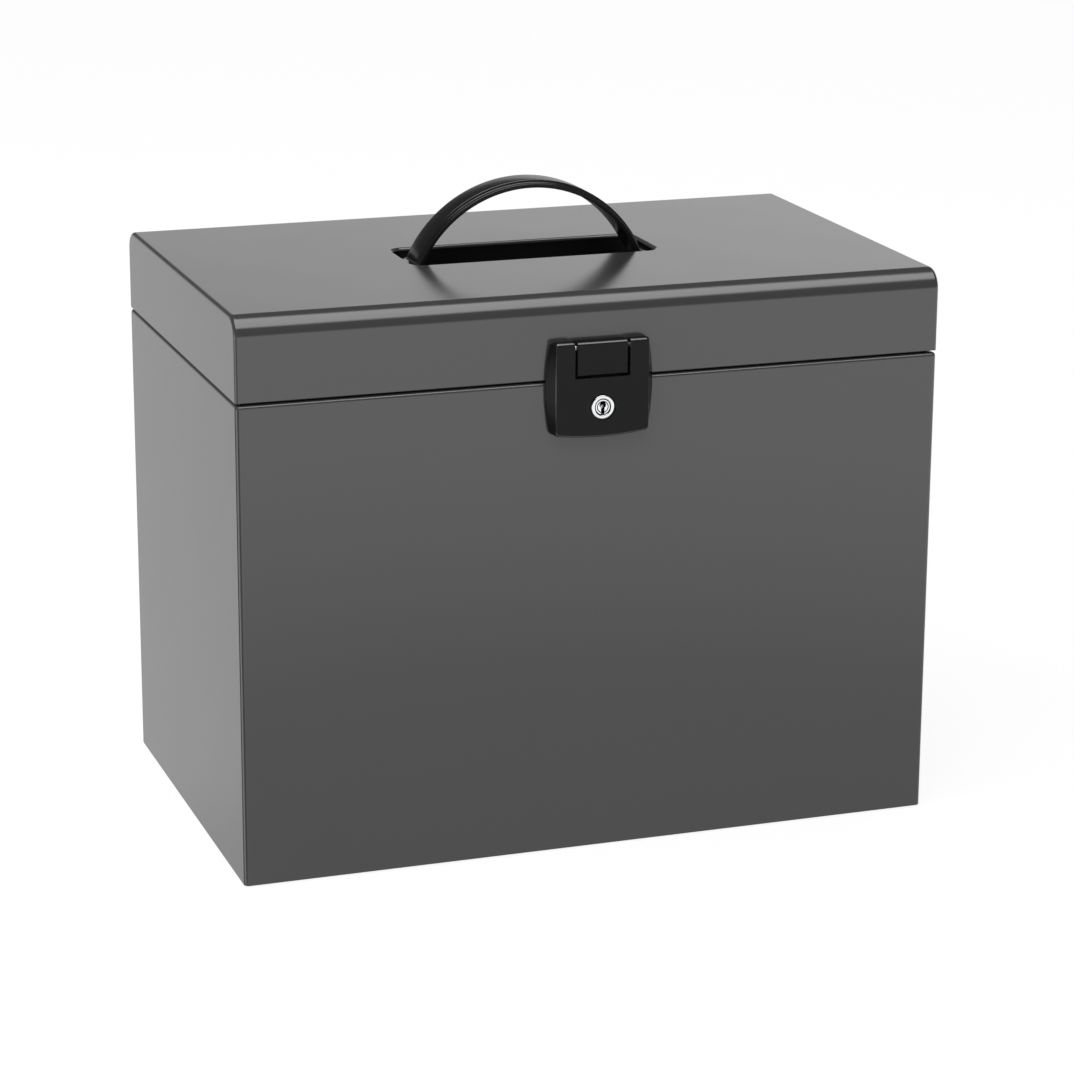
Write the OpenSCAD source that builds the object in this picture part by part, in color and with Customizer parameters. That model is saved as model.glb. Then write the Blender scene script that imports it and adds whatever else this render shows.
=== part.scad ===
// Portable steel box for hanging files, with a hinged lid, a carrying handle and a locking latch.
// The origin is the centre of the underside. X runs along the width, the latch faces -Y and Z is up.

/* [Box] */
// Outer width of the box
box_w = 365; // [320:1:420]
// Outer depth of the box
box_d = 225; // [180:1:300]
// Height from the underside to the top of the lid
box_h = 287; // [262:1:340]
// Thickness of the steel sheet
sheet = 0.8; // [0.6:0.1:1.2]

/* [Body] */
// Outer bend radius of the four upright edges
upright_r = 2.6; // [2:0.1:6]
// Outer bend radius of the shoulder under the lid
shoulder_r = 1.8; // [1.6:0.1:3.6]
// How far the neck stands in from the walls
neck_inset = 4; // [3.6:0.1:6]
// Height of the neck above the shoulder
neck_h = 10; // [6:0.5:16]
// Height of the base pan's turned-up flange
pan_flange_h = 12; // [8:1:20]
// Outer bend radius of the base pan
pan_r = 1.6; // [1.4:0.1:3]
// Height of the walls' lower edge above the underside
wall_foot_h = 0.6; // [0.4:0.1:1.2]

/* [Hanging rails] */
// How far the rails' lips stand in from the side walls
rail_reach = 16.7; // [12:0.1:30]
// Thickness of the rails
rail_t = 1.2; // [0.8:0.1:2]
// How far the rails' lips lie below the body's shoulder
rail_drop = 6; // [4:0.5:20]
// Height of the rails' lips above their ledge
rail_lip_h = 12; // [8:0.5:16]
// Gap between a rail's end and the front or the back wall
rail_end_gap = 6; // [3:0.5:12]

/* [Lid] */
// Height of the lid
lid_h = 42; // [38:1:60]
// Gap between the lid's edge and the body's shoulder
seam_gap = 1.2; // [0.8:0.1:2]
// Outer bend radius of the lid at the front and the back
lid_bend_r = 10; // [6:0.5:14]
// Edge radius of the lid's ends
end_r = 2; // [1:0.1:2.4]
// Width of the flange by which an end is welded in the lid
end_flange_w = 7; // [4:0.5:10]

/* [Handle] */
// Length of the cut-out in the lid
cutout_l = 132; // [130:1:150]
// Width of the cut-out in the lid
cutout_w = 44; // [36:1:60]
// Corner radius of the cut-out
cutout_r = 7; // [3:0.5:12]
// Depth of the tray's floor under the top of the lid
tray_depth = 13; // [10:0.5:18]
// Wall of the tray
tray_t = 1.5; // [1:0.1:2.5]
// Width of the tray's flange under the lid
tray_flange_w = 8; // [5:0.5:12]
// Outer radius of the handle's arch
arch_r = 67.5; // [66:0.5:68]
// Rise of the arch above the lid
arch_rise = 37.5; // [34:0.5:42]
// Width of the strap
strap_w = 22; // [16:0.5:28]
// Thickness of the strap
strap_t = 2.2; // [1.6:0.1:3]
// Width of the strap's raised middle band
rib_w = 15.5; // [8:0.5:15.5]
// Thickness of the raised middle band
rib_t = 1.5; // [0.5:0.1:2]
// Half angle of the stiff crown of the arch
crown_half_angle = 20; // [12:1:30]
// Half angle of the whole arch
arch_half_angle = 67.5; // [66:0.5:68]
// Length of a foot's tongue
toe_l = 18; // [12:0.5:24]
// Thickness of a foot's tongue
toe_t = 2.2; // [1.6:0.1:2.4]

/* [Latch] */
// Width of the flap at its two ends
flap_end_w = 51; // [50:0.5:54]
// Width of the flap at the middle of its height
flap_mid_w = 55.5; // [55:0.5:70]
// Width of the flap's flat face
flap_face_w = 48; // [47:0.5:50]
// Reach of the flap below the seam
flap_below = 28.3; // [28:0.1:40]
// How far the flap's lower edge bows down in the middle
flap_bow = 2; // [1:0.1:3]
// Reach of the flap above the seam
flap_above = 20; // [18:0.5:26]
// Depth of the flap
flap_t = 6.8; // [6.6:0.1:7.4]
// Wall of the flap's face
flap_wall = 1.8; // [1.6:0.1:2]
// Gap between the flap and the box
flap_gap = 0.3; // [0.3:0.1:0.6]
// Radius of the latch's upper front edge
flap_top_r = 1.5; // [1.5:0.1:3]
// Width of the tab in the flap's cut-out
tab_w = 26; // [24:0.5:36]
// Gap between the tab and the flap
tab_gap = 1.4; // [0.6:0.1:1.6]
// Gap under the tab
tab_low_gap = 1.5; // [0.8:0.1:2.4]
// Height of the tab's lower edge above the seam
tab_rise = 3.2; // [1.5:0.1:5]
// Diameter of the latch pin
latch_pin_d = 2.5; // [2:0.1:3]

/* [Lock] */
// Depth of the lock's axis below the seam
lock_drop = 13; // [12:0.5:15]
// Diameter of the lock's bright rim
rim_d = 11.8; // [11:0.1:13]
// Diameter of the seat round the rim
seat_d = 14.5; // [14:0.1:17]
// Diameter of the lock's barrel
barrel_d = 10; // [9.5:0.1:10.5]
// Diameter of the lock's plug
plug_d = 8; // [7:0.1:8.4]
// Length of the cam from the lock's axis
cam_l = 12.5; // [11:0.5:14]
// Width of the cam
cam_w = 7; // [6:0.1:8]

/* [Hinges] */
// Distance from a side of the box to the middle of a hinge
hinge_inset = 72.5; // [50:0.5:110]
// Width of a hinge
hinge_w = 40; // [30:1:60]
// Height of a hinge leaf
leaf_h = 17; // [13:0.5:24]
// Thickness of a hinge leaf
leaf_t = 1; // [0.8:0.1:1.4]
// Width of the lid leaf's middle knuckle
lid_knuckle_w = 16; // [10:0.5:18]
// Outer diameter of a hinge knuckle
knuckle_d = 4.5; // [4.2:0.1:6]
// Diameter of a hinge pin
hinge_pin_d = 2.5; // [2:0.1:2.8]
// Angle at which the hinge stops the lid
lid_stop_angle = 105; // [95:1:110]

/* [Fasteners] */
// Diameter of the rivets and screws
rivet_d = 3.2; // [2.4:0.1:3.6]
// Diameter of the rivets' heads
rivet_head_d = 5.6; // [5:0.1:6.4]
// Height of the rivets' heads
rivet_head_h = 1; // [0.6:0.1:1.2]

/* [Hidden] */
$fn = 64;

steel_grey = [0.33, 0.33, 0.33];
zinc_grey = [0.62, 0.63, 0.64];
moulded_black = [0.06, 0.06, 0.06];
bright_chrome = [0.85, 0.86, 0.87];

front_y = -box_d / 2;
back_y = box_d / 2;
seam_z = box_h - lid_h;
shoulder_z = seam_z - seam_gap / 2;
lid_edge_z = seam_z + seam_gap / 2;

// Clearances: turning fits, links that pass each other, a hole's spare depth, and a tool's overrun
turn_gap = 0.05;
side_gap = 0.3;
drill_spare = 0.5;
over = 1;

rail_wall_x = box_w / 2 - sheet;
rail_lip_x = rail_wall_x - rail_reach;
rail_lip_z = shoulder_z - rail_drop;
rail_ledge_z = rail_lip_z - rail_lip_h;
rail_web_h = 14;
rail_l = box_d - 2 * (sheet + rail_end_gap);

wrap_w = box_w - 2 * end_r;
lid_under_z = box_h - sheet;
end_edge_x = box_w / 2 - end_r;

tray_floor_z = box_h - tray_depth;
arch_z = box_h + arch_rise - arch_r;
strap_out_r = arch_r - rib_t;
strap_in_r = strap_out_r - strap_t;
toe_x = strap_in_r * sin(arch_half_angle);
toe_drop = 0.6;
toe_top_z = lid_under_z - tray_t - toe_drop;
toe_bottom_z = toe_top_z - toe_t;
toe_slot_gap = 0.5;
toe_root = 1;
toe_bar_l = 3;
toe_bar_side = 3;
toe_bar_w = strap_w + 2 * toe_bar_side;

pivot_r = flap_t / 2;
pivot_y = front_y - flap_gap - pivot_r;
pivot_z = seam_z + flap_above - pivot_r;
flap_bottom_z = seam_z - flap_below;
flap_face_y = front_y - flap_gap - flap_t;
flap_inner_y = flap_face_y + flap_wall;
flap_h = flap_below + flap_above;
flap_bar_h = 3;
flap_edge_r = 1.5;
flap_side_wall = 2.5;
flap_back_rim = 1.5;
tab_bottom_z = seam_z + tab_rise;
tab_slot_z = tab_bottom_z - tab_low_gap;
tab_front_set = 0.3;
latch_pin_end_set = 1;
latch_pin_l = flap_face_w - 2 * latch_pin_end_set;
latch_screw_x = tab_w / 4;
latch_screw_drop = 5;
latch_screw_z = pivot_z - latch_screw_drop;
latch_screw_bite = 4;

lock_z = seam_z - lock_drop;
seat_depth = 0.6;
rim_t = 1.2;
plug_set = 0.4;
nut_t = 1.2;
nut_flats = 12.4;
cam_t = 1;
cam_gap = 0.5;
cam_y = flap_inner_y + nut_t + cam_gap;
cam_stub_d = 5;
cam_screw_head_d = 4.4;
cam_screw_head_h = 0.8;
cam_screw_d = 2;
cam_screw_bite = 3.5;
keyhole_rise = 1;
keyhole_d = 3.4;
keyhole_slot_w = 1.8;
keyhole_slot_l = 4.6;
keyhole_depth = 3;

hook_t = 1;
hook_nut_gap = 0.7;
hook_cam_gap = 0.4;
hook_head_gap = 0.2;
hook_edge = 0.6;
hook_way_gap = 1.5;
hook_x = nut_flats / sqrt(3) + hook_nut_gap;
hook_w = 6.2;
hook_lip_h = 10;
hook_leg_z = lock_z + cam_w / 2 + hook_cam_gap;
hook_lip_y = cam_y - hook_cam_gap;
keeper_head_d = 4.4;
keeper_rivet_x = 9.5;
keeper_rivet_z = hook_leg_z + hook_t + keeper_head_d / 2 + hook_head_gap;
hook_foot_w = 28;
hook_foot_h = keeper_rivet_z - hook_leg_z + rivet_d / 2 + hook_edge;
hook_way_w = hook_foot_w + 2 * hook_way_gap;

hinge_x = box_w / 2 - hinge_inset;
knuckle_gap = 0.35;
knuckle_clear = knuckle_d / 2 + knuckle_gap;
hinge_y = back_y + knuckle_clear;
hinge_rivet_side = 6;
hinge_rivet_end = 5;
hinge_rivet_x = hinge_w / 2 - hinge_rivet_side;
hinge_rivet_rise = leaf_h - hinge_rivet_end;
rivet_tail_spread = 1.4;

// The lug on the lid's leaf that meets the body's leaf when the lid is fully open
stop_lug_t = 1;
stop_lug_h = 2.2;
stop_gap = 0.25;
stop_reach = knuckle_d / 2 + stop_lug_h;
leaf_face_y = back_y + leaf_t - hinge_y;
stop_angle = lid_stop_angle - acos((leaf_face_y + stop_gap) / stop_reach);

// Flat outline of a rectangle with four round corners, about its centre
module rounded_plan(w, d, r) {
  square([w - 2 * r, d], center = true);
  square([w, d - 2 * r], center = true);
  for (x = [-1, 1], y = [-1, 1])
    translate([x * (w / 2 - r), y * (d / 2 - r)]) circle(r = r);
}

// Flat outline of a wall seen from its end, from z0 to z1: square below, with round top corners
module round_topped(w, z0, z1, r) {
  translate([-w / 2, z0]) square([w, z1 - z0 - r]);
  translate([-w / 2 + r, z0]) square([w - 2 * r, z1 - z0]);
  for (x = [-1, 1])
    translate([x * (w / 2 - r), z1 - r]) circle(r = r);
}

// An outline drawn as (y, z), carried along X from x0 to x1
module along_x(x0, x1) {
  translate([x0, 0, 0]) rotate([90, 0, 90]) linear_extrude(x1 - x0) children();
}

// An outline drawn as (x, z), carried towards the back from y0 to y1
module along_y(y0, y1) {
  translate([0, y1, 0]) rotate([90, 0, 0]) linear_extrude(y1 - y0) children();
}

// A round rod towards the back from y0 to y1, on the axis at x and z
module rod_y(x, z, y0, y1, d) {
  translate([x, y1, z]) rotate([90, 0, 0]) cylinder(h = y1 - y0, d = d);
}

// A block with upright round edges and a round shoulder
module shouldered_block(w, d, z0, z1, edge_r, top_r) {
  intersection() {
    translate([0, 0, z0]) linear_extrude(z1 - z0) rounded_plan(w, d, edge_r);
    along_y(-d / 2, d / 2) round_topped(w, z0, z1, top_r);
    along_x(-w / 2, w / 2) round_topped(d, z0, z1, top_r);
  }
}

// A rivet along Y: its head lies outside at y0, its tail inside at y1
module rivet_y(x, z, y0, y1, out, head_d) {
  rod_y(x, z, min(y0, y1), max(y0, y1), rivet_d);
  translate([x, y0, z]) rotate([out * -90, 0, 0]) domed_head(head_d);
  translate([x, y1, z]) rotate([out * 90, 0, 0]) domed_head(rivet_d + rivet_tail_spread);
}

// A low domed head, standing up from its seat
module domed_head(d) {
  rise = min(rivet_head_h, d / 3);
  ball_r = (pow(d / 2, 2) + pow(rise, 2)) / (2 * rise);
  rotate_extrude() intersection() {
    translate([0, rise - ball_r]) circle(r = ball_r);
    square([d / 2, rise]);
  }
}

module body_shell() {
  color(steel_grey) difference() {
    union() {
      difference() {
        shouldered_block(box_w, box_d, wall_foot_h, shoulder_z, upright_r, shoulder_r);
        shouldered_block(box_w - 2 * sheet, box_d - 2 * sheet, wall_foot_h - over,
                         shoulder_z - sheet, upright_r - sheet, shoulder_r - sheet);
      }
      translate([0, 0, shoulder_z - sheet]) linear_extrude(neck_h + sheet)
        rounded_plan(box_w - 2 * neck_inset, box_d - 2 * neck_inset, upright_r);
    }
    translate([0, 0, shoulder_z - 2 * sheet]) linear_extrude(neck_h + 2 * sheet + over)
      rounded_plan(box_w - 2 * (neck_inset + sheet), box_d - 2 * (neck_inset + sheet), upright_r - sheet);
    for (x = [-1, 1])
      rod_y(x * keeper_rivet_x, keeper_rivet_z, front_y - over, front_y + sheet + over, rivet_d);
    for (side = [-1, 1], x = [-1, 1])
      rod_y(side * hinge_x + x * hinge_rivet_x, seam_z - hinge_rivet_rise, back_y - sheet - over,
            back_y + over, rivet_d);
  }
}

// Outline of the base pan in either of its two directions, from z0 to z1, with round lower corners
module pan_outline(w, z0, z1, r) {
  translate([0, z0 + z1]) mirror([0, 1]) round_topped(w, z0, z1, r);
}

// A block from z0 to z1 with upright round edges and round lower edges
module pan_block(w, d, z0, z1, edge_r, low_r) {
  intersection() {
    translate([0, 0, z0]) linear_extrude(z1 - z0) rounded_plan(w, d, edge_r);
    along_y(-d / 2, d / 2) pan_outline(w, z0, z1, low_r);
    along_x(-w / 2, w / 2) pan_outline(d, z0, z1, low_r);
  }
}

module base_pan() {
  pan_w = box_w - 2 * sheet;
  pan_d = box_d - 2 * sheet;
  inner_r = max(upright_r - 2 * sheet, sheet / 4);
  color(steel_grey) difference() {
    pan_block(pan_w, pan_d, 0, pan_flange_h, upright_r - sheet, pan_r);
    pan_block(pan_w - 2 * sheet, pan_d - 2 * sheet, sheet, pan_flange_h + over, inner_r, pan_r - sheet);
  }
}

// One rail, on the +X side: a web on the wall, a ledge, and the lip that carries the files' hooks
module rail() {
  lip_x = rail_lip_x - rail_t / 2;
  color(zinc_grey) along_y(-rail_l / 2, rail_l / 2) {
    translate([rail_wall_x - rail_t, rail_ledge_z]) square([rail_t, rail_web_h]);
    translate([lip_x, rail_ledge_z]) square([rail_wall_x - lip_x, rail_t]);
    translate([lip_x, rail_ledge_z]) square([rail_t, rail_lip_h - rail_t / 2]);
    translate([rail_lip_x, rail_lip_z - rail_t / 2]) circle(d = rail_t);
  }
}
module rail_right() { rail(); }
module rail_left() { mirror([1, 0, 0]) rail(); }

module lid_wrap() {
  color(steel_grey) difference() {
    along_x(-wrap_w / 2, wrap_w / 2) difference() {
      round_topped(box_d, lid_edge_z, box_h, lid_bend_r);
      round_topped(box_d - 2 * sheet, lid_edge_z - over, lid_under_z, lid_bend_r - sheet);
    }
    translate([0, 0, lid_under_z - over]) linear_extrude(sheet + 2 * over)
      rounded_plan(cutout_l, cutout_w, cutout_r);
    for (x = [-1, 1])
      rod_y(x * latch_screw_x, latch_screw_z, front_y - over, front_y + sheet + over, rivet_d);
    for (side = [-1, 1], x = [-1, 1])
      rod_y(side * hinge_x + x * hinge_rivet_x, seam_z + hinge_rivet_rise, back_y - sheet - over,
            back_y + over, rivet_d);
  }
}

// A lid end's outline, drawn inside the lid's section by inset
module end_outline(inset) {
  round_topped(box_d - 2 * inset, lid_edge_z, box_h - inset, lid_bend_r - inset);
}

// One lid end, on the +X side: a plate with round edges and a flange inside the wrap
module lid_end() {
  flange_x = end_edge_x - end_flange_w;
  color(steel_grey) difference() {
    union() {
      intersection() {
        translate([end_edge_x, -box_d, 0]) cube([end_r, 2 * box_d, 2 * box_h]);
        union() {
          along_x(end_edge_x - over, box_w / 2) end_outline(end_r);
          end_edge_round();
        }
      }
      along_x(flange_x, end_edge_x + end_r / 2) end_outline(sheet);
    }
    along_x(flange_x - over, box_w / 2 - sheet) end_cavity();
  }
}

// The space inside a lid end
module end_cavity() {
  inset = max(2 * sheet, end_r);
  round_topped(box_d - 2 * inset, lid_edge_z - over, box_h - inset, lid_bend_r - inset);
}

// The rounding along a lid end's uprights, bends and top, as whole rods and ring quarters
module end_edge_round() {
  bend_y = box_d / 2 - lid_bend_r;
  bend_z = box_h - lid_bend_r;
  for (y = [-1, 1]) {
    translate([end_edge_x, y * (box_d / 2 - end_r), lid_edge_z])
      cylinder(h = bend_z - lid_edge_z, r = end_r);
    translate([end_edge_x, y * bend_y, bend_z]) rotate([0, 90, 0]) rotate([0, 0, y > 0 ? 90 : 180])
      rotate_extrude(angle = 90) translate([lid_bend_r - end_r, 0]) circle(r = end_r);
  }
  translate([end_edge_x, -bend_y, box_h - end_r]) rotate([-90, 0, 0]) cylinder(h = 2 * bend_y, r = end_r);
}
module lid_end_right() { lid_end(); }
module lid_end_left() { mirror([1, 0, 0]) lid_end(); }

module handle_tray() {
  slot_w = strap_w + 2 * toe_slot_gap;
  color(moulded_black) difference() {
    union() {
      translate([0, 0, tray_floor_z - tray_t]) linear_extrude(lid_under_z - tray_floor_z + tray_t)
        rounded_plan(cutout_l + 2 * tray_t, cutout_w + 2 * tray_t, cutout_r + tray_t);
      translate([0, 0, lid_under_z - tray_t]) linear_extrude(tray_t)
        rounded_plan(cutout_l + 2 * tray_flange_w, cutout_w + 2 * tray_flange_w, cutout_r + tray_flange_w);
    }
    translate([0, 0, tray_floor_z]) linear_extrude(lid_under_z - tray_floor_z + over)
      rounded_plan(cutout_l, cutout_w, cutout_r);
    for (side = [-1, 1])
      translate([side * (cutout_l / 2 + tray_t / 2) - tray_t - over, -slot_w / 2,
                 toe_bottom_z - toe_slot_gap])
        cube([2 * (tray_t + over), slot_w, toe_slot_gap + toe_t + toe_drop]);
  }
}

// A slice of the arch's ring, from radius r0 to r1 and from angle a0 to a1 right of the top
module arch_slice(r0, r1, a0, a1, w) {
  far = 2 * r1;
  translate([0, 0, arch_z]) along_y(-w / 2, w / 2) intersection() {
    difference() {
      circle(r = r1);
      circle(r = r0);
    }
    polygon([[0, 0], [far * sin(a0), far * cos(a0)],
             [far * sin((a0 + a1) / 2), far * cos((a0 + a1) / 2)], [far * sin(a1), far * cos(a1)]]);
  }
}

// The strap's section along a stretch of the arch: a flat band with a raised middle
module strap(a0, a1) {
  arch_slice(strap_in_r, strap_out_r, a0, a1, strap_w);
  arch_slice(strap_out_r - strap_t / 2, arch_r, a0, a1, rib_w);
}

module handle_crown() {
  color(moulded_black) strap(-crown_half_angle, crown_half_angle);
}

// One flexible leg, on the +X side, with its foot's tongue and the bar that keeps it in the tray
module handle_leg() {
  joint_gap = side_gap / arch_r * 180 / PI;
  trim = arch_r / 3;
  color(moulded_black) {
    difference() {
      strap(crown_half_angle + joint_gap, arch_half_angle);
      translate([toe_x - trim / 2, -strap_w, toe_bottom_z - trim]) cube([trim, 2 * strap_w, trim]);
    }
    translate([toe_x - toe_root, -strap_w / 2, toe_bottom_z]) cube([toe_root + toe_l, strap_w, toe_t]);
    translate([toe_x + toe_l - toe_bar_l, -toe_bar_w / 2, toe_bottom_z])
      cube([toe_bar_l, toe_bar_w, toe_t]);
  }
}
module handle_leg_right() { handle_leg(); }
module handle_leg_left() { mirror([1, 0, 0]) handle_leg(); }

// The knuckles of one leaf: "body" has the two outer ones, "lid" the middle one
module knuckles(kind, d) {
  mid = lid_knuckle_w / 2;
  spans = kind == "lid" ? [[-mid, mid]]
                        : [[-hinge_w / 2, -mid - side_gap], [mid + side_gap, hinge_w / 2]];
  for (s = spans)
    translate([s[0], hinge_y, seam_z]) rotate([0, 90, 0]) cylinder(h = s[1] - s[0], d = d);
}

module hinge_body_leaf() {
  color(zinc_grey) difference() {
    union() {
      translate([-hinge_w / 2, back_y, seam_z - leaf_h]) cube([hinge_w, leaf_t, leaf_h]);
      knuckles("body", knuckle_d);
    }
    translate([-lid_knuckle_w / 2 - side_gap, back_y - over, seam_z - knuckle_clear])
      cube([lid_knuckle_w + 2 * side_gap, 2 * knuckle_clear, 2 * knuckle_clear]);
    translate([-hinge_w, hinge_y, seam_z]) rotate([0, 90, 0])
      cylinder(h = 2 * hinge_w, d = hinge_pin_d + 2 * turn_gap);
    for (x = [-1, 1])
      rod_y(x * hinge_rivet_x, seam_z - hinge_rivet_rise, back_y - over, back_y + leaf_t + over, rivet_d);
  }
}

module hinge_lid_leaf() {
  notch_w = (hinge_w - lid_knuckle_w) / 2 + side_gap;
  color(zinc_grey) difference() {
    union() {
      translate([-hinge_w / 2, back_y, seam_z]) cube([hinge_w, leaf_t, leaf_h]);
      knuckles("lid", knuckle_d);
      translate([-lid_knuckle_w / 2, hinge_y, seam_z]) rotate([stop_angle, 0, 0])
        cube([lid_knuckle_w, stop_reach, stop_lug_t]);
    }
    for (x = [-1, 1])
      translate([x * hinge_w / 2 - notch_w, back_y - over, seam_z - over])
        cube([2 * notch_w, 2 * over + leaf_t, knuckle_clear + over]);
    translate([-hinge_w, hinge_y, seam_z]) rotate([0, 90, 0]) cylinder(h = 2 * hinge_w, d = hinge_pin_d);
    for (x = [-1, 1])
      rod_y(x * hinge_rivet_x, seam_z + hinge_rivet_rise, back_y - over, back_y + leaf_t + over, rivet_d);
  }
}

module hinge_pin() {
  color(zinc_grey) translate([-hinge_w / 2, hinge_y, seam_z]) rotate([0, 90, 0])
    cylinder(h = hinge_w, d = hinge_pin_d);
}

module hinge_body_leaf_left() { translate([-hinge_x, 0, 0]) hinge_body_leaf(); }
module hinge_body_leaf_right() { translate([hinge_x, 0, 0]) hinge_body_leaf(); }
module hinge_lid_leaf_left() { translate([-hinge_x, 0, 0]) hinge_lid_leaf(); }
module hinge_lid_leaf_right() { translate([hinge_x, 0, 0]) hinge_lid_leaf(); }
module hinge_pin_left() { translate([-hinge_x, 0, 0]) hinge_pin(); }
module hinge_pin_right() { translate([hinge_x, 0, 0]) hinge_pin(); }

// The four rivets of the two hinges on one side of the seam
module hinge_rivets(rise) {
  color(zinc_grey) for (side = [-1, 1], x = [-1, 1])
    rivet_y(side * hinge_x + x * hinge_rivet_x, seam_z + rise, back_y + leaf_t, back_y - sheet, 1,
            rivet_head_d);
}
module hinge_body_rivets() { hinge_rivets(-hinge_rivet_rise); }
module hinge_lid_rivets() { hinge_rivets(hinge_rivet_rise); }

// A block seen from its side, from y0 back to y1 and from z0 to z1, with a round upper front edge
module round_fronted(y0, y1, z0, z1, r) {
  translate([y0, z0]) square([y1 - y0, z1 - z0 - r]);
  translate([y0 + r, z0]) square([y1 - y0 - r, z1 - z0]);
  translate([y0 + r, z1 - r]) circle(r = r);
}

// The flap seen from its side: round behind the pivot, so that it clears the lid as it swings up
module flap_side() {
  translate([pivot_y, pivot_z]) circle(r = pivot_r);
  round_fronted(flap_face_y, pivot_y, pivot_z - over, pivot_z + pivot_r, flap_top_r);
  translate([flap_face_y, flap_bottom_z + flap_edge_r])
    square([flap_t, pivot_z - flap_bottom_z - flap_edge_r]);
  translate([flap_face_y + flap_edge_r, flap_bottom_z]) square([flap_t - flap_edge_r, flap_edge_r + over]);
  translate([flap_face_y + flap_edge_r, flap_bottom_z + flap_edge_r]) circle(r = flap_edge_r);
}

// The flap seen from the front: two end widths with bulging sides between them
module barrel_outline() {
  bulge = (flap_mid_w - flap_end_w) / 2;
  side_r = (pow(flap_h / 2, 2) + pow(bulge, 2)) / (2 * bulge);
  intersection() {
    bowed_foot(flap_mid_w);
    translate([flap_mid_w / 2 - side_r, flap_bottom_z + flap_h / 2]) circle(r = side_r, $fn = 256);
    translate([side_r - flap_mid_w / 2, flap_bottom_z + flap_h / 2]) circle(r = side_r, $fn = 256);
  }
}

// The flap's height over a width of w, on its bowed lower edge
module bowed_foot(w) {
  foot_r = (pow(flap_end_w / 2, 2) + pow(flap_bow, 2)) / (2 * flap_bow);
  intersection() {
    translate([-w / 2, flap_bottom_z]) square([w, flap_h]);
    translate([0, flap_bottom_z + foot_r]) circle(r = foot_r, $fn = 512);
  }
}

module flap_block() {
  corner_h = flap_h - flap_bow;
  intersection() {
    hull() {
      along_y(front_y - flap_gap - flap_back_rim, front_y - flap_gap) barrel_outline();
      along_y(flap_face_y, flap_face_y + flap_wall / 2) {
        bowed_foot(flap_face_w - 2 * flap_edge_r);
        translate([0, flap_bottom_z + flap_bow + corner_h / 2])
          rounded_plan(flap_face_w, corner_h, flap_edge_r, $fn = 32);
      }
    }
    along_x(-flap_mid_w, flap_mid_w) flap_side();
  }
}

module latch_flap() {
  cavity_w = flap_face_w - 2 * flap_side_wall;
  cavity_top_z = tab_slot_z - flap_bar_h;
  cavity_floor_z = flap_bottom_z + flap_bow + flap_wall;
  slot_w = tab_w + 2 * tab_gap;
  color(moulded_black) difference() {
    flap_block();
    translate([-cavity_w / 2, flap_inner_y, cavity_floor_z])
      cube([cavity_w, flap_t, cavity_top_z - cavity_floor_z]);
    translate([-hook_way_w / 2, flap_inner_y, flap_bottom_z - over])
      cube([hook_way_w, flap_t, cavity_floor_z - flap_bottom_z + 2 * over]);
    translate([-slot_w / 2, flap_face_y - over, tab_slot_z]) cube([slot_w, flap_t + 2 * over, flap_h]);
    translate([-(latch_pin_l / 2 + side_gap), pivot_y, pivot_z]) rotate([0, 90, 0])
      cylinder(h = latch_pin_l + 2 * side_gap, d = latch_pin_d + 2 * turn_gap);
    rod_y(0, lock_z, flap_face_y - over, flap_face_y + seat_depth, seat_d);
    rod_y(0, lock_z, flap_face_y, flap_inner_y + over, barrel_d);
  }
}

module latch_base() {
  color(moulded_black) difference() {
    along_x(-tab_w / 2, tab_w / 2)
      round_fronted(flap_face_y + tab_front_set, front_y, tab_bottom_z, pivot_z + pivot_r - tab_front_set,
                    flap_top_r);
    translate([-tab_w, pivot_y, pivot_z]) rotate([0, 90, 0]) cylinder(h = 2 * tab_w, d = latch_pin_d);
    for (x = [-1, 1])
      rod_y(x * latch_screw_x, latch_screw_z, front_y - latch_screw_bite - drill_spare, front_y + over,
            rivet_d);
  }
}

module latch_base_screws() {
  color(zinc_grey) for (x = [-1, 1]) {
    rod_y(x * latch_screw_x, latch_screw_z, front_y - latch_screw_bite, front_y + sheet, rivet_d);
    translate([x * latch_screw_x, front_y + sheet, latch_screw_z]) rotate([-90, 0, 0])
      domed_head(rivet_head_d);
  }
}

module latch_pin() {
  color(zinc_grey) translate([-latch_pin_l / 2, pivot_y, pivot_z]) rotate([0, 90, 0])
    cylinder(h = latch_pin_l, d = latch_pin_d);
}

module lock_housing() {
  color(bright_chrome) difference() {
    union() {
      rod_y(0, lock_z, flap_face_y + seat_depth - rim_t, flap_face_y + seat_depth, rim_d);
      rod_y(0, lock_z, flap_face_y, cam_y - cam_gap / 2, barrel_d);
    }
    rod_y(0, lock_z, flap_face_y - flap_t, cam_y, plug_d + 2 * turn_gap);
  }
}

module lock_nut() {
  color(zinc_grey) difference() {
    translate([0, flap_inner_y + nut_t, lock_z]) rotate([90, 0, 0])
      cylinder(h = nut_t, d = nut_flats * 2 / sqrt(3), $fn = 6);
    rod_y(0, lock_z, flap_inner_y - over, flap_inner_y + nut_t + over, barrel_d);
  }
}

module lock_plug() {
  face_y = flap_face_y + seat_depth - rim_t + plug_set;
  keyhole_z = lock_z + keyhole_rise;
  color(bright_chrome) difference() {
    union() {
      rod_y(0, lock_z, face_y, cam_y, plug_d);
      rod_y(0, lock_z, cam_y - over, cam_y + cam_t, cam_stub_d);
    }
    rod_y(0, keyhole_z, face_y - over, face_y + keyhole_depth, keyhole_d);
    translate([-keyhole_slot_w / 2, face_y - over, keyhole_z - keyhole_slot_l])
      cube([keyhole_slot_w, keyhole_depth + over, keyhole_slot_l]);
    rod_y(0, lock_z, cam_y + cam_t - cam_screw_bite - drill_spare, cam_y + cam_t + over, cam_screw_d);
  }
}

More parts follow.
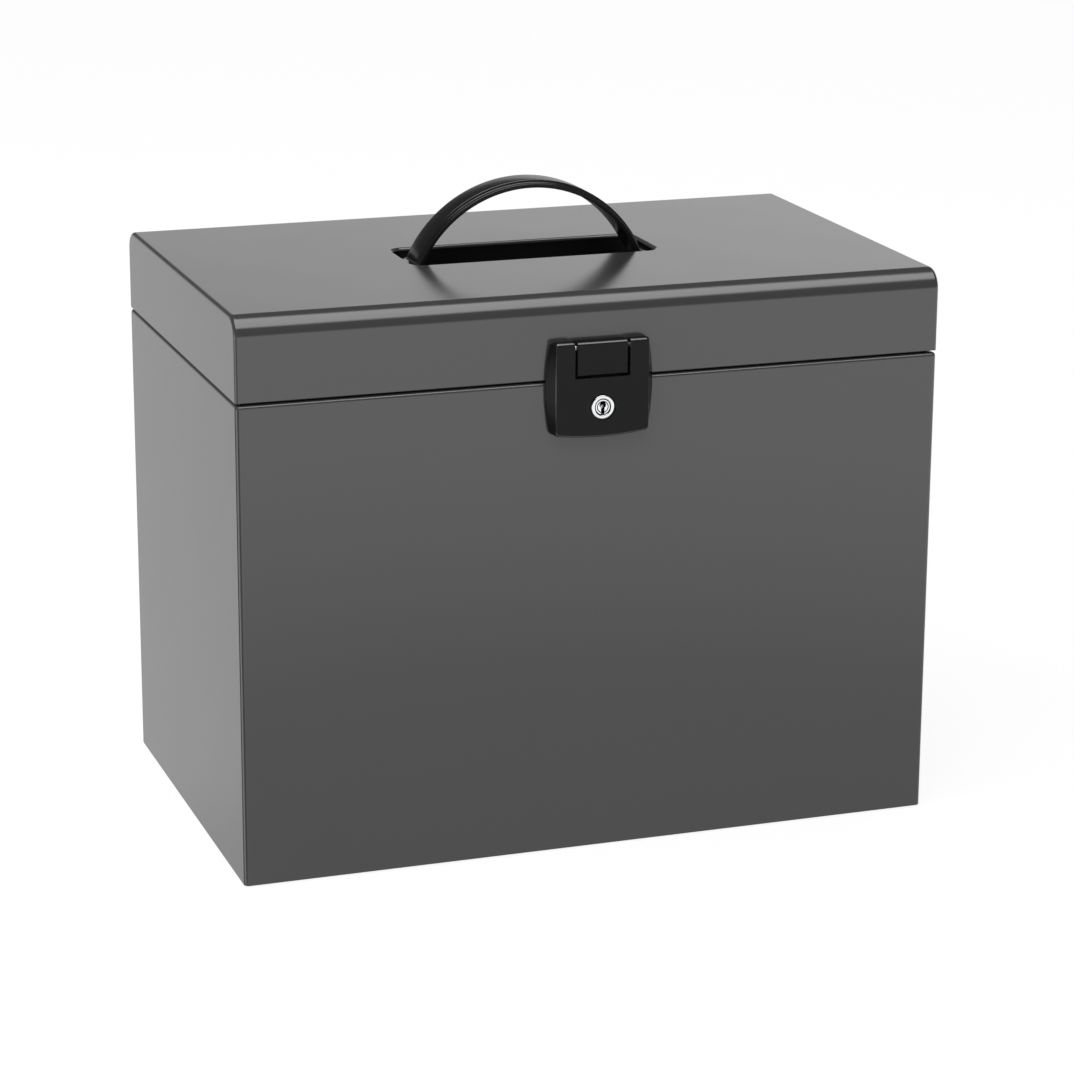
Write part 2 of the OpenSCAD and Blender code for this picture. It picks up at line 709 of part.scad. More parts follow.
module lock_cam() {
  color(zinc_grey) difference() {
    union() {
      rod_y(0, lock_z, cam_y, cam_y + cam_t, cam_w + 1);
      translate([-cam_w / 2, cam_y, lock_z - cam_l]) cube([cam_w, cam_t, cam_l]);
    }
    rod_y(0, lock_z, cam_y - over, cam_y + cam_t + over, cam_stub_d);
  }
}

module cam_screw() {
  color(zinc_grey) {
    rod_y(0, lock_z, cam_y + cam_t - cam_screw_bite, cam_y + cam_t, cam_screw_d);
    rod_y(0, lock_z, cam_y + cam_t, cam_y + cam_t + cam_screw_head_h, cam_screw_head_d);
  }
}

module keeper_hook() {
  color(zinc_grey) difference() {
    union() {
      translate([-hook_foot_w / 2, front_y - hook_t, hook_leg_z]) cube([hook_foot_w, hook_t, hook_foot_h]);
      translate([hook_x, hook_lip_y - hook_t, hook_leg_z])
        cube([hook_w, front_y - hook_lip_y + hook_t, hook_t]);
      translate([hook_x, hook_lip_y - hook_t, hook_leg_z + hook_t - hook_lip_h])
        cube([hook_w, hook_t, hook_lip_h]);
    }
    for (x = [-1, 1])
      rod_y(x * keeper_rivet_x, keeper_rivet_z, front_y - over - hook_t, front_y + over, rivet_d);
  }
}

module keeper_rivets() {
  color(zinc_grey) for (x = [-1, 1])
    rivet_y(x * keeper_rivet_x, keeper_rivet_z, front_y - hook_t, front_y + sheet, -1, keeper_head_d);
}

body_shell();
base_pan();
rail_left();
rail_right();
lid_wrap();
lid_end_left();
lid_end_right();
handle_tray();
handle_crown();
handle_leg_left();
handle_leg_right();
hinge_body_leaf_left();
hinge_body_leaf_right();
hinge_lid_leaf_left();
hinge_lid_leaf_right();
hinge_pin_left();
hinge_pin_right();
hinge_body_rivets();
hinge_lid_rivets();
latch_base();
latch_base_screws();
latch_pin();
latch_flap();
lock_housing();
lock_nut();
lock_plug();
lock_cam();
cam_screw();
keeper_hook();
keeper_rivets();
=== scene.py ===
"""The looks of a portable steel file box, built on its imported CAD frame.

Sizes are written in millimetres. The mesh helpers turn them into metres, the frame's unit.
The latch faces -Y, X runs along the box's width, and Z is up from its underside.
"""

from math import asin, cos, pi, radians, sin, sqrt

import bmesh
import bpy
import numpy as np
from mathutils import Matrix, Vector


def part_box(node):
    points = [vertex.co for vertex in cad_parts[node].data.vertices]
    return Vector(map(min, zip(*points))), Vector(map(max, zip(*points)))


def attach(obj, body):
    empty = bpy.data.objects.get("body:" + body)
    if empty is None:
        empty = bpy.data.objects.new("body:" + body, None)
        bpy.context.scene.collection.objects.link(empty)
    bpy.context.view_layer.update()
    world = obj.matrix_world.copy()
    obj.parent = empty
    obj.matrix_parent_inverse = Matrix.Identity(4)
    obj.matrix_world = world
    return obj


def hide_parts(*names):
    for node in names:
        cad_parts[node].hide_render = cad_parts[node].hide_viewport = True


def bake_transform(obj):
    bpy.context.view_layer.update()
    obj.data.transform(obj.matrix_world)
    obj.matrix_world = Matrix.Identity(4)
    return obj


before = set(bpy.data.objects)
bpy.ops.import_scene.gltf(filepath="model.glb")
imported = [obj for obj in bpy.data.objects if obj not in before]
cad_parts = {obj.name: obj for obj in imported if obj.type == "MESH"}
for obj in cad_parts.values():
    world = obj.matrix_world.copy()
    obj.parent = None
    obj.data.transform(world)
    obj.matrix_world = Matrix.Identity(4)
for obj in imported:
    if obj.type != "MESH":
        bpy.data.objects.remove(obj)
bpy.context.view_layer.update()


# Camera: the viewpoint of the photograph, slightly above the box and to the left of its latch.
# The lens is long, so the box's edges run nearly parallel.
view_azimuth, view_elevation, view_roll = radians(-19.11), radians(16.31), radians(0.29)
camera_place = (-0.5765, -1.6865, 0.654)
focal_length = 118.0

camera = bpy.data.objects.new("camera", bpy.data.cameras.new("camera"))
camera.data.sensor_width = 36.0
camera.data.lens = focal_length
back = np.array([sin(view_azimuth) * cos(view_elevation), -cos(view_azimuth) * cos(view_elevation),
                 sin(view_elevation)])
level = np.cross([0, 0, 1], back)
level /= np.linalg.norm(level)
upright = np.cross(back, level)
right = level * cos(view_roll) + upright * sin(view_roll)
up = upright * cos(view_roll) - level * sin(view_roll)
turn = Matrix(np.array([right, up, back]).T.tolist()).to_4x4()
camera.matrix_world = Matrix.Translation(camera_place) @ turn
bpy.context.scene.collection.objects.link(camera)
bpy.context.scene.camera = camera


# Studio: white paper under the box and all round it, and two large soft lamps that no reflection shows.
# The camera sees plain white. Reflections see a graded ground, a dark band above it and in front, and a soft
# box in the ceiling: the bands that a box of glossy sheet shows along its bends.
floor_half = 6.0
paper_white = (0.86, 0.86, 0.86, 1)
paper_glow = 1.16
paper_glow_share = 0.74
surround_light = 0.5
studio_middle = (0.0, 0.0, 0.2)
left_corner = (-0.1825, -0.1125, 0.0)
soft_box_glow = 3.3
lamp_aim = (0.0, 0.0, 0.14)
lamps = [
    ("lamp_left", (-2.4, -0.2, 1.5), (2.2, 2.0), 22.0),
    ("lamp_front", (-0.6, -1.5, 2.1), (1.6, 1.0), 18.0),
]


def studio_reflection():
    """Node group: how bright the studio is for a reflection in the direction of Vector. Its height tells the
    ground, the horizon, the dark band and the soft box apart, and across and along say on which side of the
    box it is. Turn is a direction from the left front corner: to the left of it the ground is bright, and
    beside that it is dark."""
    group = bpy.data.node_groups.new("studio_reflection", "ShaderNodeTree")
    for name in ("Vector", "Turn"):
        group.interface.new_socket(name, in_out="INPUT", socket_type="NodeSocketVector")
    group.interface.new_socket("Tone", in_out="OUTPUT", socket_type="NodeSocketFloat")
    nodes, links = group.nodes, group.links
    start, end = nodes.new("NodeGroupInput"), nodes.new("NodeGroupOutput")
    unit = nodes.new("ShaderNodeVectorMath")
    unit.operation = "NORMALIZE"
    parts = nodes.new("ShaderNodeSeparateXYZ")
    links.new(start.outputs[0], unit.inputs[0])
    links.new(unit.outputs[0], parts.inputs[0])
    level = nodes.new("ShaderNodeVectorMath")
    level.operation = "MULTIPLY"
    level.inputs[1].default_value = (1, 1, 0)
    compass = nodes.new("ShaderNodeVectorMath")
    compass.operation = "NORMALIZE"
    compass_parts = nodes.new("ShaderNodeSeparateXYZ")
    links.new(start.outputs[1], level.inputs[0])
    links.new(level.outputs[0], compass.inputs[0])
    links.new(compass.outputs[0], compass_parts.inputs[0])

    def step(source, low, high, below, above):
        """A smooth change from one tone to the other, while source goes from low to high."""
        ramp = nodes.new("ShaderNodeMapRange")
        ramp.interpolation_type = "SMOOTHSTEP"
        for name, value in (("From Min", low), ("From Max", high), ("To Min", below), ("To Max", above)):
            if isinstance(value, float):
                ramp.inputs[name].default_value = value
            else:
                links.new(value, ramp.inputs[name])
        links.new(source, ramp.inputs["Value"])
        return ramp.outputs[0]

    across, along, height = parts.outputs
    front_ground = step(height, -0.5, -0.13, 0.6, 1.05)
    turned = compass_parts.outputs[0]
    left_ground = step(turned, -0.97, -0.92, 1.5, 0.05)
    ground = step(along, -0.35, 0.3, front_ground, 0.7)
    ground = step(turned, -0.62, -0.45, left_ground, ground)
    horizon = step(height, -0.05, 0.2, ground, step(across, 0.15, 0.45, 0.74, 0.93))
    band_low = step(along, -0.5, 0.5, -0.08, step(across, -0.2, 0.15, 0.02, 0.245))
    band_high = step(along, -0.5, 0.5, 0.06, step(across, -0.2, 0.15, 0.16, 0.32))
    banded = step(height, band_low, band_high, horizon, 0.11)
    box_low = step(along, -0.7, 0.3, 0.64, 0.9)
    box_high = step(along, -0.7, 0.3, 0.76, 0.97)
    tone = step(height, box_low, box_high, banded, soft_box_glow)
    links.new(tone, end.inputs[0])
    return group


def seen_tone(nodes, links, place, turn, reflection):
    """1 where the camera looks, the studio's reflected tone for a reflection, and 0 for light that falls."""
    path = nodes.new("ShaderNodeLightPath")
    mirrored = nodes.new("ShaderNodeMath")
    mirrored.operation = "MAXIMUM"
    links.new(path.outputs["Is Glossy Ray"], mirrored.inputs[0])
    links.new(path.outputs["Is Transmission Ray"], mirrored.inputs[1])
    tone = nodes.new("ShaderNodeGroup")
    tone.node_tree = reflection
    links.new(place, tone.inputs[0])
    links.new(turn, tone.inputs[1])
    dimmed = nodes.new("ShaderNodeMath")
    dimmed.operation = "MULTIPLY"
    links.new(mirrored.outputs[0], dimmed.inputs[0])
    links.new(tone.outputs[0], dimmed.inputs[1])
    seen = nodes.new("ShaderNodeMath")
    seen.operation = "MAXIMUM"
    links.new(dimmed.outputs[0], seen.inputs[0])
    links.new(path.outputs["Is Camera Ray"], seen.inputs[1])
    return seen.outputs[0], mirrored.outputs[0], path.outputs["Is Camera Ray"]


reflection = studio_reflection()
floor_mesh = bpy.data.meshes.new("floor")
corners = np.array([[-1, -1, 0], [1, -1, 0], [1, 1, 0], [-1, 1, 0]]) * floor_half
floor_mesh.from_pydata(corners.tolist(), [], [(0, 1, 2, 3)])
floor = bpy.data.objects.new("floor", floor_mesh)
bpy.context.scene.collection.objects.link(floor)
paper = bpy.data.materials.new("white_paper")
paper.use_nodes = True
nodes, links = paper.node_tree.nodes, paper.node_tree.links
nodes["Principled BSDF"].inputs["Base Color"].default_value = paper_white
nodes["Principled BSDF"].inputs["Roughness"].default_value = 0.9
nodes["Principled BSDF"].inputs["Specular IOR Level"].default_value = 0.0
where = nodes.new("ShaderNodeNewGeometry")
offsets = []
for origin in (studio_middle, left_corner):
    offset = nodes.new("ShaderNodeVectorMath")
    offset.operation = "SUBTRACT"
    offset.inputs[1].default_value = origin
    links.new(where.outputs["Position"], offset.inputs[0])
    offsets.append(offset.outputs[0])
tone, mirrored, direct = seen_tone(nodes, links, *offsets, reflection)
glow = nodes.new("ShaderNodeEmission")
brighter = nodes.new("ShaderNodeMath")
brighter.operation = "MULTIPLY"
brighter.inputs[1].default_value = paper_glow
links.new(tone, brighter.inputs[0])
links.new(brighter.outputs[0], glow.inputs["Strength"])
share = nodes.new("ShaderNodeMath")
share.operation = "MULTIPLY_ADD"
share.inputs[1].default_value = paper_glow_share
links.new(direct, share.inputs[0])
links.new(mirrored, share.inputs[2])
mix = nodes.new("ShaderNodeMixShader")
links.new(share.outputs[0], mix.inputs[0])
links.new(nodes["Principled BSDF"].outputs[0], mix.inputs[1])
links.new(glow.outputs[0], mix.inputs[2])
links.new(mix.outputs[0], nodes["Material Output"].inputs[0])
floor_mesh.materials.append(paper)

world = bpy.data.worlds.new("white_room")
world.use_nodes = True
nodes, links = world.node_tree.nodes, world.node_tree.links
direction = nodes.new("ShaderNodeTexCoord")
tone, mirrored, direct = seen_tone(nodes, links, *[direction.outputs["Generated"]] * 2, reflection)
falling = nodes.new("ShaderNodeMath")
falling.operation = "ADD"
links.new(mirrored, falling.inputs[0])
links.new(direct, falling.inputs[1])
strength = nodes.new("ShaderNodeMix")
strength.inputs[2].default_value = surround_light
links.new(falling.outputs[0], strength.inputs[0])
links.new(tone, strength.inputs[3])
links.new(strength.outputs[0], nodes["Background"].inputs["Strength"])
nodes["Background"].inputs["Color"].default_value = (1, 1, 1, 1)
bpy.context.scene.world = world
bpy.context.scene.view_settings.view_transform = "Standard"

for name, place, size, watts in lamps:
    lamp = bpy.data.objects.new(name, bpy.data.lights.new(name, "AREA"))
    lamp.data.shape = "RECTANGLE"
    lamp.data.size, lamp.data.size_y = size
    lamp.data.energy = watts
    away = np.array(place) - lamp_aim
    away /= np.linalg.norm(away)
    side = np.cross([0, 0, 1], away)
    side /= np.linalg.norm(side)
    aim = Matrix(np.array([side, np.cross(away, side), away]).T.tolist()).to_4x4()
    lamp.matrix_world = Matrix.Translation(place) @ aim
    lamp.visible_glossy = False
    bpy.context.scene.collection.objects.link(lamp)


# Body shell: four walls folded from 0.8 mm sheet steel, with a pressed shoulder and a neck for the lid.
# It is powder coated in a satin grey whose fine texture shows at the edges of reflections.
sheet = 0.8
upright_r = 2.6
shoulder_r = 1.8
neck_inset = 4.0
neck_h = 10.0
neck_root_r = 1.0
paint_dark = (0.05, 0.05, 0.0505, 1)
paint_light = (0.054, 0.054, 0.0545, 1)
crisp_angle = radians(32)


def surface_texture():
    """Node group of three noises: Height is the fine grain for a bump, Mottle and Haze are slow masks."""
    group = bpy.data.node_groups.new("surface_texture", "ShaderNodeTree")
    group.interface.new_socket("Vector", in_out="INPUT", socket_type="NodeSocketVector")
    for name, value in (("Grain per m", 900.0), ("Mottle per m", 14.0)):
        socket = group.interface.new_socket(name, in_out="INPUT", socket_type="NodeSocketFloat")
        socket.default_value = value
    for name in ("Height", "Mottle", "Haze"):
        group.interface.new_socket(name, in_out="OUTPUT", socket_type="NodeSocketFloat")
    nodes, links = group.nodes, group.links
    start, end = nodes.new("NodeGroupInput"), nodes.new("NodeGroupOutput")
    for name, scale, detail in (("Height", "Grain per m", 3.0), ("Mottle", "Mottle per m", 4.0)):
        noise = nodes.new("ShaderNodeTexNoise")
        noise.inputs["Detail"].default_value = detail
        links.new(start.outputs["Vector"], noise.inputs["Vector"])
        links.new(start.outputs[scale], noise.inputs["Scale"])
        links.new(noise.outputs["Fac"], end.inputs[name])
    haze = nodes.new("ShaderNodeTexNoise")
    haze.inputs["Detail"].default_value = 2.0
    times = nodes.new("ShaderNodeMath")
    times.operation = "MULTIPLY"
    times.inputs[1].default_value = 4.3
    links.new(start.outputs["Mottle per m"], times.inputs[0])
    links.new(start.outputs["Vector"], haze.inputs["Vector"])
    links.new(times.outputs[0], haze.inputs["Scale"])
    links.new(haze.outputs["Fac"], end.inputs["Haze"])
    return group


texture_group = surface_texture()


def finish(name, colours, roughness, grain, bump, mottle=14.0, metal=0.0, level=0.5):
    """A material whose colour goes from one grey to another with Mottle, its roughness with Haze, and whose
    fine grain is a bump of the given depth in metres. Level is the strength of its mirror reflection."""
    material = bpy.data.materials.new(name)
    material.use_nodes = True
    nodes, links = material.node_tree.nodes, material.node_tree.links
    shader = nodes["Principled BSDF"]
    shader.inputs["Metallic"].default_value = metal
    shader.inputs["Specular IOR Level"].default_value = level
    place = nodes.new("ShaderNodeTexCoord")
    texture = nodes.new("ShaderNodeGroup")
    texture.node_tree = texture_group
    texture.inputs["Grain per m"].default_value = grain
    texture.inputs["Mottle per m"].default_value = mottle
    links.new(place.outputs["Object"], texture.inputs["Vector"])
    tone = nodes.new("ShaderNodeMix")
    tone.data_type = "RGBA"
    tone.inputs[6].default_value, tone.inputs[7].default_value = colours
    links.new(texture.outputs["Mottle"], tone.inputs[0])
    links.new(tone.outputs[2], shader.inputs["Base Color"])
    gloss = nodes.new("ShaderNodeMapRange")
    gloss.inputs["From Min"].default_value, gloss.inputs["From Max"].default_value = 0.2, 0.8
    gloss.inputs["To Min"].default_value, gloss.inputs["To Max"].default_value = roughness
    links.new(texture.outputs["Haze"], gloss.inputs["Value"])
    links.new(gloss.outputs[0], shader.inputs["Roughness"])
    relief = nodes.new("ShaderNodeBump")
    relief.inputs["Distance"].default_value = bump
    links.new(texture.outputs["Height"], relief.inputs["Height"])
    links.new(relief.outputs[0], shader.inputs["Normal"])
    return material


def box_mm(node):
    """Lowest and highest corner of a CAD node, in millimetres."""
    low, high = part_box(node)
    return np.array(low) * 1000, np.array(high) * 1000


def arc(centre, radius, start, end, steps=8):
    """Points of an arc from one angle to another, in degrees, counter-clockwise when the angle grows."""
    angle = np.radians(np.linspace(start, end, steps + 1))
    return np.stack([centre[0] + radius * np.cos(angle), centre[1] + radius * np.sin(angle)], -1)


def two_skins(path, thickness, round_start=True, round_end=True, cap_steps=6):
    """The section of a sheet: an outer line, and the same line moved to its left by the thickness, joined by
    half circles at the ends that are round. A negative thickness moves it to the right."""
    ahead = np.gradient(path, axis=0)
    ahead[1:-1] = path[2:] - path[:-2]
    ahead /= np.linalg.norm(ahead, axis=1, keepdims=True)
    for end, beside in ((0, 1), (-1, -2)):
        ahead[end] = 2 * ahead[end].dot(ahead[beside]) * ahead[end] - ahead[beside]
    left = np.stack([-ahead[:, 1], ahead[:, 0]], -1)
    inner = path + thickness * left
    half = np.linspace(0, pi, cap_steps + 1)[1:-1, None]

    def cap(i, way):
        middle = path[i] + left[i] * thickness / 2
        side, tip = left[i] * thickness / 2, way * ahead[i] * abs(thickness) / 2
        return middle - side * np.cos(half) + tip * np.sin(half)

    parts = [path]
    if round_end:
        parts.append(cap(-1, 1))
    parts.append(inner[::-1])
    if round_start:
        parts.append(cap(0, -1)[::-1])
    return np.concatenate(parts)


def rounded_loop(half_x, half_y, radius, x_cuts, y_cuts, corner_steps=8):
    """Rounded rectangles, one a row, counter-clockwise from the -Y side: each straight side is cut at the
    given fractions of its half length, and each corner is a quarter circle."""
    sizes = [np.atleast_1d(size).astype(float) for size in (half_x, half_y, radius)]
    half_x, half_y, radius = np.broadcast_arrays(*sizes)
    half_x, half_y, radius = half_x[:, None], half_y[:, None], radius[:, None]
    a, b = half_x - radius, half_y - radius
    steps = np.radians(np.linspace(0, 90, corner_steps + 1)[1:-1])[None, :]

    def corner(x, y, start):
        return x + radius * np.cos(steps + radians(start)), y + radius * np.sin(steps + radians(start))

    x_line, y_line = a * x_cuts, b * y_cuts
    runs = [(x_line, -half_y + 0 * x_line), corner(a, -b, -90),
            (half_x + 0 * y_line, y_line), corner(a, b, 0),
            (x_line[:, ::-1], half_y + 0 * x_line), corner(-a, b, 90),
            (-half_x + 0 * y_line, y_line[:, ::-1]), corner(-a, -b, 180)]
    return np.stack([np.concatenate([r[k] for r in runs], 1) for k in (0, 1)], -1)


def grid(points, join_rows=False, join_cols=False):
    """(points, quads) of a grid of points (rows, columns, 3); a joined side meets the opposite one."""
    rows, cols = points.shape[:2]
    r = np.arange(rows if join_rows else rows - 1)[:, None]
    c = np.arange(cols if join_cols else cols - 1)[None, :]
    down, across = (r + 1) % rows, (c + 1) % cols
    quads = np.stack([r * cols + c, r * cols + across, down * cols + across, down * cols + c], -1)
    return points.reshape(-1, 3), quads.reshape(-1, 4)


def with_height(xy, z):
    """Plan points (rows, columns, 2) with one height a row."""
    return np.concatenate([xy, np.broadcast_to(np.reshape(z, (-1, 1, 1)), xy.shape[:2] + (1,))], -1)


def solid_mesh(name, surfaces, close=True, merge=0.002):
    """One mesh from grids in mm: points that meet are merged, open rims filled, normals turned outwards."""
    mesh = bpy.data.meshes.new(name)
    counts = np.cumsum([0] + [len(points) for points, _ in surfaces])
    points = np.concatenate([points for points, _ in surfaces]) / 1000
    quads = np.concatenate([quads + start for (_, quads), start in zip(surfaces, counts)])
    mesh.from_pydata(points.tolist(), [], quads.tolist())
    work = bmesh.new()
    work.from_mesh(mesh)
    bmesh.ops.remove_doubles(work, verts=work.verts, dist=merge / 1000)
    bmesh.ops.dissolve_degenerate(work, edges=work.edges, dist=1e-7)
    if close:
        bmesh.ops.holes_fill(work, edges=[e for e in work.edges if e.is_boundary], sides=0)
    bmesh.ops.recalc_face_normals(work, faces=work.faces)
    work.to_mesh(mesh)
    work.free()
    return mesh


def round_edges(mesh, width, segments=2):
    """Rounds a mesh's edges that are sharper than 40 degrees."""
    work = bmesh.new()
    work.from_mesh(mesh)
    edges = [e for e in work.edges if len(e.link_faces) == 2 and e.calc_face_angle(0) > radians(40)]
    bmesh.ops.bevel(work, geom=edges, offset=width / 1000, offset_type="OFFSET", segments=segments,
                    profile=0.5, affect="EDGES", clamp_overlap=True)
    work.to_mesh(mesh)
    work.free()


def piece(mesh, body, slot, material, *replaced):
    """A finished piece: smooth but for its sharp edges, and riding on a CAD body if one is named. Then its
    normals lean to the larger faces, so flat sheet stays flat beside its bends."""
    mesh.shade_smooth()
    mesh.set_sharp_from_angle(angle=crisp_angle)
    thing = bpy.data.objects.new(mesh.name, mesh)
    bpy.context.scene.collection.objects.link(thing)
    mesh.materials.clear()
    mesh.materials.append(material)
    if body:
        even = thing.modifiers.new("even", "WEIGHTED_NORMAL")
        even.keep_sharp = True
        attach(thing, body)
    if replaced:
        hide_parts(*replaced)
    return thing


grey_paint = finish("grey_powder_coat", (paint_dark, paint_light), (0.15, 0.17), grain=700, bump=0.000002,
                    mottle=5, level=0.8)

body_low, body_high = box_mm("body_shell")
neck_top = body_high[2]
shoulder_z = neck_top - neck_h
wall_path = np.concatenate([
    [[0, body_low[2] + sheet / 2]],
    arc((-shoulder_r, shoulder_z - shoulder_r), shoulder_r, 0, 90),
])
neck_path = np.concatenate([
    arc((-neck_inset + neck_root_r, shoulder_z + neck_root_r), neck_root_r, 270, 180),
    [[-neck_inset, neck_top - sheet / 2]],
])
shell_section = two_skins(np.concatenate([wall_path, neck_path]), sheet)
in_neck = shell_section[:, 0] < -shoulder_r - 0.1
corner_radius = np.maximum(shell_section[:, 0] + upright_r + np.where(in_neck, neck_inset, 0), 0.05)
shell_loops = rounded_loop(body_high[0] + shell_section[:, 0], body_high[1] + shell_section[:, 0],
                           corner_radius, np.linspace(-1, 1, 9), np.linspace(-1, 1, 7))
shell_rings = with_height(shell_loops, shell_section[:, 1])
shell = solid_mesh("body_walls", [grid(shell_rings, join_rows=True, join_cols=True)], close=False)
piece(shell, "case", "grey_paint", grey_paint, "body_shell")


# Small steel pieces and the base pan: CAD nodes that keep their shape. Their cut edges get a fine round.
# The pan is painted like the body; the rails, hinges, rivets, screws and keeper are bright zinc plated.
zinc_dark = (0.42, 0.43, 0.45, 1)
zinc_light = (0.56, 0.57, 0.58, 1)
edge_round = 0.15


def smooth_by_angle():
    """Geometry nodes that shade a CAD node smooth, but for its sharp edges."""
    group = bpy.data.node_groups.new("smooth_by_angle", "GeometryNodeTree")
    group.interface.new_socket("Geometry", in_out="INPUT", socket_type="NodeSocketGeometry")
    group.interface.new_socket("Geometry", in_out="OUTPUT", socket_type="NodeSocketGeometry")
    nodes, links = group.nodes, group.links
    start, end = nodes.new("NodeGroupInput"), nodes.new("NodeGroupOutput")
    smooth = nodes.new("GeometryNodeSetShadeSmooth")
    crisp = nodes.new("GeometryNodeSetShadeSmooth")
    crisp.domain = "EDGE"
    crisp.inputs["Shade Smooth"].default_value = False
    angle = nodes.new("GeometryNodeInputMeshEdgeAngle")
    over = nodes.new("FunctionNodeCompare")
    over.operation = "GREATER_THAN"
    over.inputs[1].default_value = crisp_angle
    links.new(start.outputs[0], smooth.inputs["Geometry"])
    links.new(smooth.outputs[0], crisp.inputs["Geometry"])
    links.new(angle.outputs["Unsigned Angle"], over.inputs[0])
    links.new(over.outputs[0], crisp.inputs["Selection"])
    links.new(crisp.outputs[0], end.inputs[0])
    return group


shading = smooth_by_angle()


def dress(node, material):
    """Gives a CAD node its material, welds its triangles together and rounds its sharp edges."""
    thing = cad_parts[node]
    thing.data.materials.clear()
    thing.data.materials.append(material)
    weld = thing.modifiers.new("weld", "WELD")
    weld.merge_threshold = 1e-6
    flat = thing.modifiers.new("flat", "DECIMATE")
    flat.decimate_type = "DISSOLVE"
    flat.angle_limit = radians(0.5)
    bevel = thing.modifiers.new("edges", "BEVEL")
    bevel.limit_method = "ANGLE"
    bevel.angle_limit = radians(40)
    bevel.width = edge_round / 1000
    bevel.segments = 2
    smooth = thing.modifiers.new("smooth", "NODES")
    smooth.node_group = shading


zinc = finish("zinc_plate", (zinc_dark, zinc_light), (0.3, 0.42), grain=1600, bump=0.00001, mottle=60,
              metal=1.0)
dress("base_pan", grey_paint)
for side in ("left", "right"):
    for node in ("rail_", "hinge_body_leaf_", "hinge_lid_leaf_", "hinge_pin_"):
        dress(node + side, zinc)
for node in ("hinge_body_rivets", "hinge_lid_rivets", "keeper_hook", "keeper_rivets", "latch_base_screws",
             "latch_pin", "lock_nut", "lock_cam", "cam_screw"):
    dress(node, zinc)


# Lid wrap: one sheet folded over a 10 mm radius at the front and the back, with a pressed opening on top.
# The opening's edge is rolled down all round, so the hand and the handle meet no sharp edge. Each section
# starts and ends where the sheet goes on into the flat top.
lid_bend_r = 10.0
cutout_half = np.array([66.0, 22.0])
cutout_r = 7.0
lip_r = 1.5
wrap_low, wrap_high = box_mm("lid_wrap")
lid_edge, lid_top = wrap_low[2], wrap_high[2]
wrap_half, lid_half = wrap_high[0], wrap_high[1]
along_x = np.linspace(-1, 1, 25)
apron_path = np.concatenate([
    [[lid_half, lid_edge + sheet / 2]],
    arc((lid_half - lid_bend_r, lid_top - lid_bend_r), lid_bend_r, 0, 90, 16),
])
apron_section = np.roll(two_skins(apron_path, sheet, round_end=False), -len(apron_path), axis=0)
surfaces = []
for way in (-1, 1):
    apron = np.zeros((len(apron_section), len(along_x), 3))
    apron[:, :, 0] = wrap_half * along_x
    apron[:, :, 1] = way * apron_section[:, :1]
    apron[:, :, 2] = apron_section[:, 1:]
    surfaces.append(grid(apron))
lip_path = arc((lip_r, lid_top - lip_r), lip_r, 180, 90)
lip_section = np.roll(two_skins(lip_path, -sheet, round_end=False), -len(lip_path), axis=0)
lip_loops = rounded_loop(cutout_half[0] + lip_section[:, 0], cutout_half[1] + lip_section[:, 0],
                         cutout_r + lip_section[:, 0], along_x, np.linspace(-1, 1, 7))
edge_loop = rounded_loop(wrap_half, lid_half - lid_bend_r, 0.0, along_x, np.linspace(-1, 1, 7))
top_loops = np.concatenate([
    with_height(edge_loop, lid_top - sheet),
    with_height(lip_loops, lip_section[:, 1]),
    with_height(edge_loop, lid_top),
])
surfaces.append(grid(top_loops, join_cols=True))
wrap = solid_mesh("lid_cover", surfaces)
piece(wrap, "lid", "grey_paint", grey_paint, "lid_wrap")


# Lid ends: drawn plates welded into the two ends of the wrap, with a small edge radius all round.
# Their flange lies inside the wrap and can be seen from below when the lid is open.
end_r = 2.0
end_flange_w = 7.0
flange_gap = 0.03
joggle = 0.5


def lid_outline(inset):
    """The lid's outline as (y, z), inset by so much: up the front, round, over the top, round and down."""
    bend = arc((-(lid_half - lid_bend_r), lid_top - lid_bend_r), lid_bend_r - inset, 180, 90, 16)
    foot = [[-(lid_half - inset), lid_edge]]
    front = np.concatenate([foot, bend])
    return np.concatenate([front, front[::-1] * [-1, 1]])


end_path = np.concatenate([
    [[wrap_half - end_flange_w, -sheet - flange_gap], [wrap_half - joggle, -sheet - flange_gap]],
    np.array([wrap_half, 0]) + arc((0, -end_r), end_r, 90, 0),
    [[wrap_half + end_r, -2 * end_r]],
])
end_section = np.roll(two_skins(end_path, -sheet, round_end=False), -len(end_path), axis=0)
middle = [0, lid_edge]
for side, way in (("left", -1), ("right", 1)):
    rows = []
    for x, out in end_section:
        line = lid_outline(-out)
        rows.append(np.column_stack([np.full(len(line), way * x), line]))
    centre_out = np.tile([way * (wrap_half + end_r), *middle], (len(line), 1))
    centre_in = centre_out - [way * sheet, 0, 0]
    end_mesh = solid_mesh("lid_end_plate_" + side, [grid(np.array([centre_in] + rows + [centre_out]))])
    piece(end_mesh, "lid", "grey_paint", grey_paint, "lid_end_" + side)


# Handle tray: a black tub of moulded plastic under the lid's opening, with a slot at each end.
# The handle's feet slide in these slots when the handle is pressed down.
tray_wall = 0.8
tray_gap = 0.1
tray_floor_t = 1.5
tray_bend_r = 2.5
black_dark = (0.008, 0.008, 0.0085, 1)
black_light = (0.012, 0.012, 0.0125, 1)
tray_low, tray_high = box_mm("handle_tray")
tray_floor = tray_low[2] + tray_floor_t
flange_out = tray_high[0] - cutout_half[0]
slot_half = 11.5
slot_low, slot_high = 281.4, 284.4

black_plastic = finish("moulded_black", (black_dark, black_light), (0.3, 0.4), grain=2600, bump=0.000005,
                       mottle=30, level=0.3)

